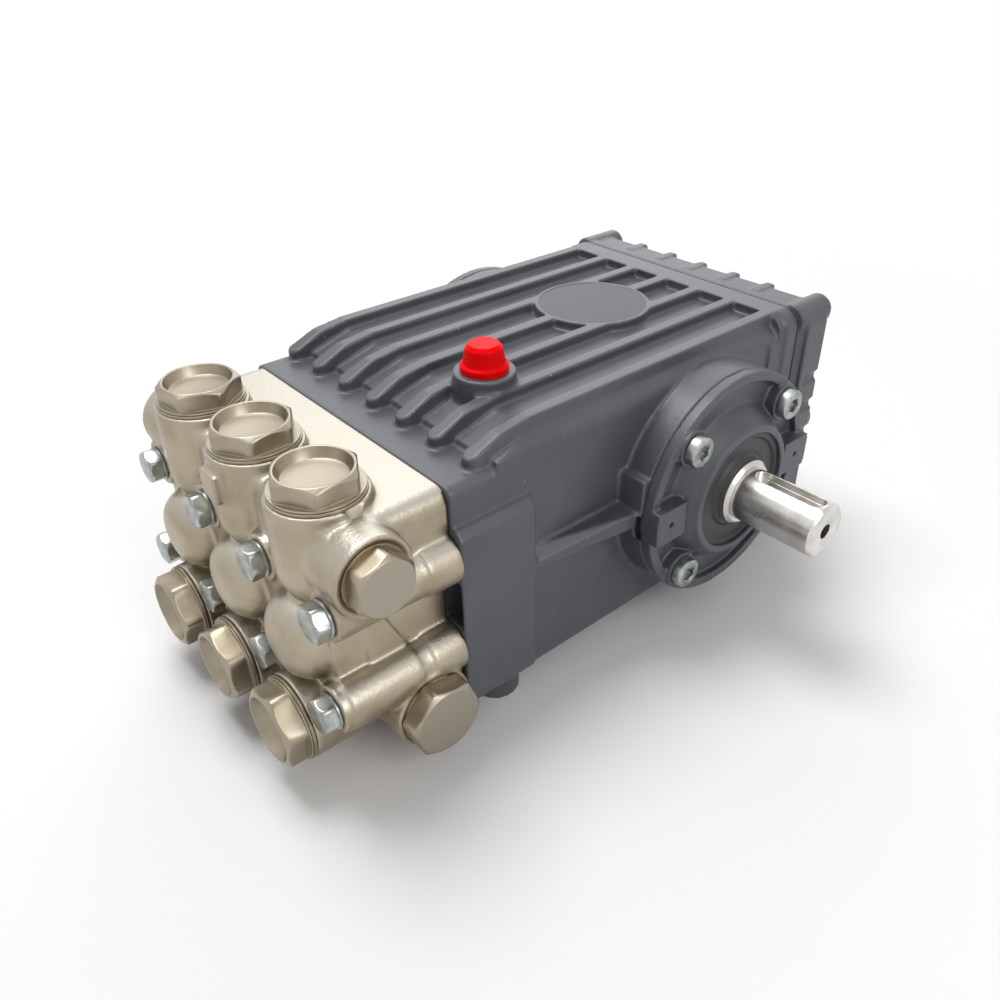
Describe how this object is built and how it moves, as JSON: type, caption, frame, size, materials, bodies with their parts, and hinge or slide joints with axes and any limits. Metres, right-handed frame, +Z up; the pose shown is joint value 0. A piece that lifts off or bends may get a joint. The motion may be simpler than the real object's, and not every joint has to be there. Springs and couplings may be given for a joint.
{
  "type": "high-pressure plunger pump",
  "caption": "Horizontal high-pressure plunger pump with ribbed crankcase, brass manifold, side drive shaft, tapped ports and tapped feet.",
  "frame": {"origin": "centre of the four tapped feet, on the plane that they rest on", "axes": "+X out along the drive shaft, +Y from the manifold to the back of the crankcase, +Z up"},
  "size_m": [0.228, 0.2988, 0.145],
  "materials": {
    "case_paint": "satin dark blue-grey paint on an aluminium casting",
    "plated_brass": "nickel plating on a smooth brass casting",
    "plated_cap": "nickel plating on turned brass",
    "shaft_steel": "ground and polished",
    "zinc_steel": "bright zinc plating",
    "seal_rubber": "moulded, satin",
    "gasket": "cut sheet",
    "sealing_ring": "flat metal ring",
    "sight_window": "clear amber",
    "plate_metal": "bare dark anodised plate",
    "red_plastic": "moulded, semi-gloss"
  },
  "bodies": {
    "pump_body": {"crankcase": "case_paint", "rear_gasket": "gasket", "rear_cover": "case_paint", "oil_sight_glass": "sight_window", "drain_plug": "zinc_steel", "badge_plate": "plate_metal", "oil_filler_plug": "red_plastic", "drive_bearing_cover": "case_paint", "blind_bearing_cover": "case_paint", "shaft_seal": "seal_rubber", "manifold": "plated_brass", "delivery_cap_1": "plated_cap", "delivery_cap_2": "plated_cap", "delivery_cap_3": "plated_cap", "delivery_washer_1": "plated_cap", "delivery_washer_2": "plated_cap", "delivery_washer_3": "plated_cap", "suction_cap_1": "plated_cap", "suction_cap_2": "plated_cap", "suction_cap_3": "plated_cap", "suction_washer_1": "plated_cap", "suction_washer_2": "plated_cap", "suction_washer_3": "plated_cap", "delivery_plug": "plated_cap", "delivery_plug_ring": "sealing_ring", "suction_plug": "plated_cap", "suction_plug_ring": "sealing_ring"},
    "drive_line": {"crankshaft": "shaft_steel"}
  },
  "joints": [
    {"name": "shaft_spin", "type": "hinge", "parent": "pump_body", "child": "drive_line", "pos_m": [0.1, 0.0454, 0.07], "axis": [1, 0, 0], "continuous": true}
  ]
}
